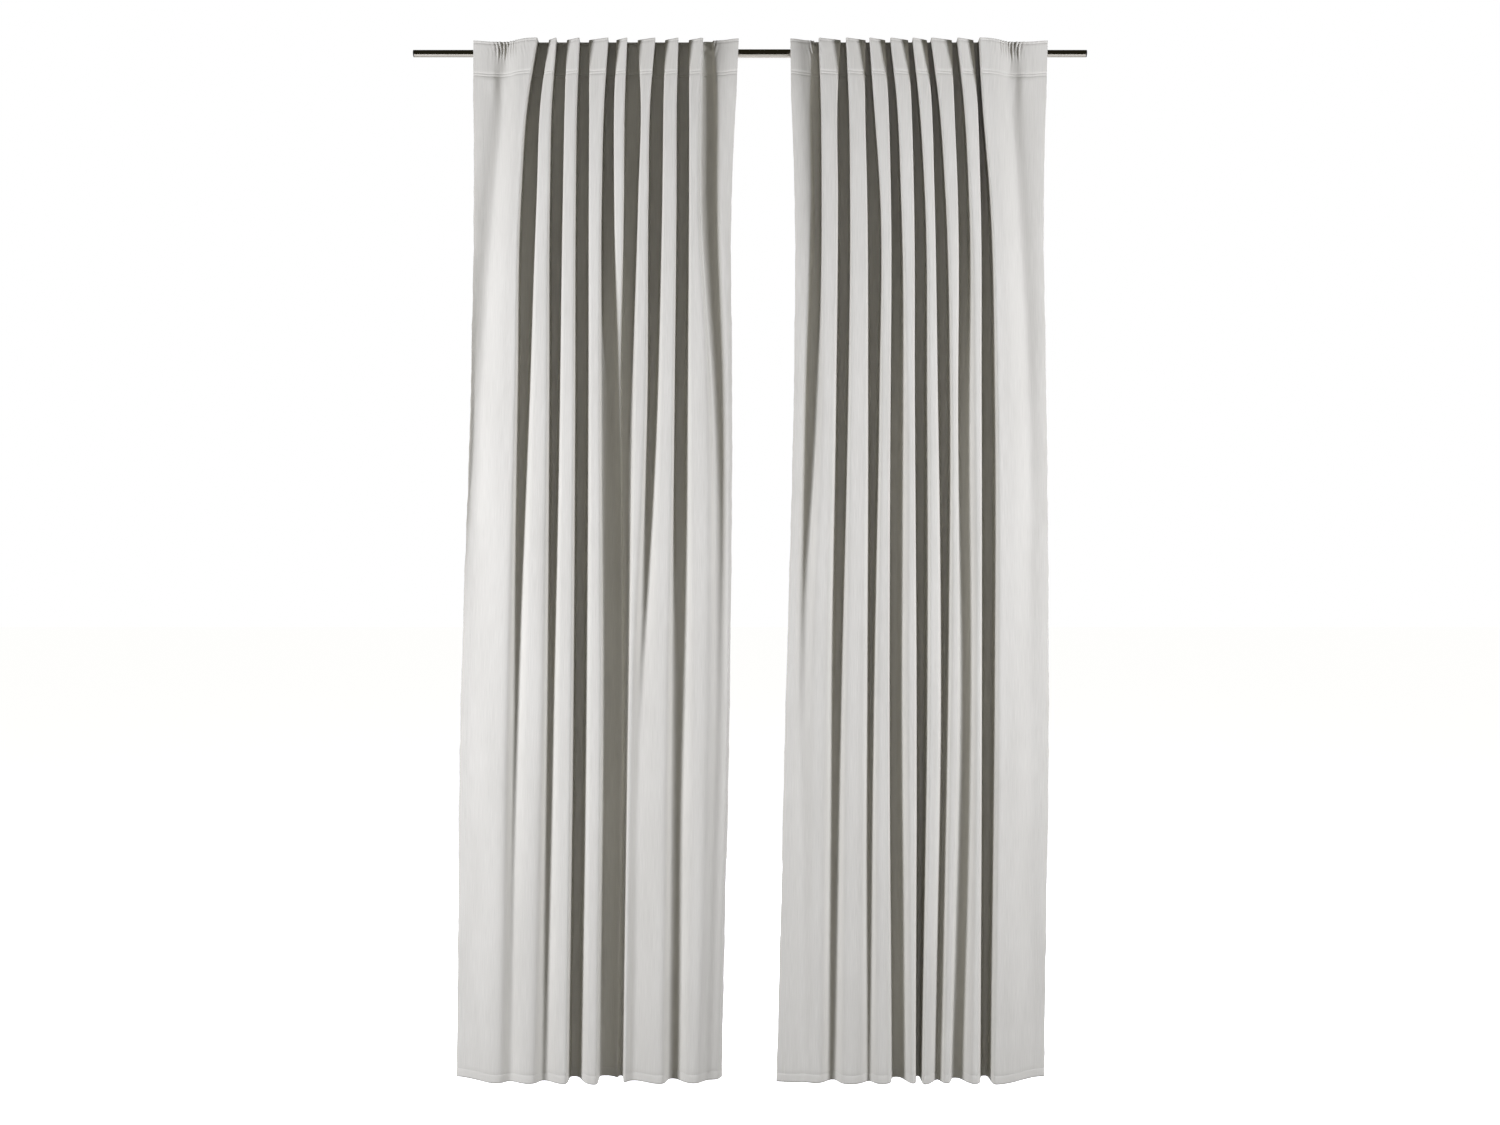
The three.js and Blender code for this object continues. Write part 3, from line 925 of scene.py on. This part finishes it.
for curtain in (LEFT, RIGHT):
    hand = curtain["hand"]
    made = cloth[hand]
    seams = []
    for line in STITCH_LINES:
        row = np.argmin(abs(HEIGHTS - line))
        behind = BEHIND_TAPE if line > TAPE_BOTTOM else BEHIND_HEM
        seams += [(made["points"][row], made["front"][row], lift) for lift in (IN_FRONT, behind)]
    rows = HEIGHTS < TAPE_BOTTOM
    for distance in (SIDE_HEM - 3, FLAT_WIDTH - SIDE_HEM + 3):
        distances = np.full((rows.sum(), 1), distance)
        path = at_distance(made["points"][rows], made["flat"][rows], distances)[:, 0]
        facing = at_distance(made["front"][rows], made["flat"][rows], distances)[:, 0]
        seams += [(path, facing, lift) for lift in (IN_FRONT, BEHIND_HEM)]
    all_points, all_faces, count = [], [], 0
    for path, facing, lift in seams:
        points, faces = stitch_grains(*evenly_along(path, facing, STITCH_PITCH), lift)
        all_points.append(points)
        all_faces.append(faces + count)
        count += len(points)
    grains = np.concatenate(all_points) * MM
    stitching = mesh_object(f"{hand}_stitching", grains, np.concatenate(all_faces), THREAD)
    ride_with_cloth(stitching, hand, "tape")
    made["sewn"].append(stitching)
    print(hand, "stitches:", count // 6)

# %% [markdown]
# ## Tabs
#
# Nine short straps of tape behind each heading carry the curtain. Each is sewn to the tape at its
# top, passes over the rod and is sewn down again 60 mm lower. The strap is a rounded path in the
# plane across the rod, given a width.

# %% Tabs
TAB_WIDTH = 19.0
TAB_THICKNESS = 0.9
TAB_SOFTNESS = 1.1
EDGE_CURL = 0.25
LOWER_SEAM = -43.0


def tab_strap(hand, number):
    """A strap: its path across the rod times its width. Its long edges curl back, as a worn tape's do."""
    low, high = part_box(f"{hand}_tab_{number}")
    radius = high.y / MM - 0.5
    sewn = BACK_PLANE + 2.15
    # over the rod from its upper front to its lower back
    angle = np.radians(np.arange(128, -43, -12))
    loop = np.stack([radius * np.cos(angle), radius * np.sin(angle)], axis=1)
    start = [(sewn, TAPE_TOP - 1), (sewn, TAPE_TOP - 9)]
    end = [(sewn, LOWER_SEAM), (sewn, TAPE_BOTTOM + 1)]
    corners = np.concatenate([start, loop, end])[None]
    counts = [3, 3] + [3] * (len(loop) - 1) + [10, 4]
    segment = np.concatenate([np.full(count, i) for i, count in enumerate(counts)] + [[len(counts) - 1]])
    share = np.concatenate([np.arange(count) / count for count in counts] + [[1.0]])
    path, walked = rounded_path(corners, np.full(corners.shape[:2], TAB_SOFTNESS), segment, share)
    width = np.linspace(-1, 1, 9)
    middle = (low.x + high.x) / 2 / MM
    x = middle + TAB_WIDTH / 2 * width[None] + 0 * path[0, :, :1]
    y = path[0, :, :1] + EDGE_CURL * width[None] ** 4
    z = path[0, :, 1:] + 0 * x
    flat = np.stack([x - middle + 40 * number, walked[0][:, None] + 0 * x], axis=-1)
    return np.stack([x, y, z], axis=-1), flat


for hand in ("left", "right"):
    carriers = [f"{hand}_outer"] + [f"{hand}_carrier_{k}" for k in range(2, 9)] + [f"{hand}_lead"]
    for number, body in enumerate(carriers, start=1):
        points, flat = tab_strap(hand, number)
        faces = grid_faces(*points.shape[:2])
        strap = mesh_object(f"{hand}_tab_{number}_strap", points * MM, faces, TAPE_WEAVE, flat)
        thicken(strap, TAB_THICKNESS)
        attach(strap, body)
        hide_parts(f"{hand}_tab_{number}")
        cloth[hand]["sewn"].append(strap)
    print(hand, "tabs:", len(carriers))
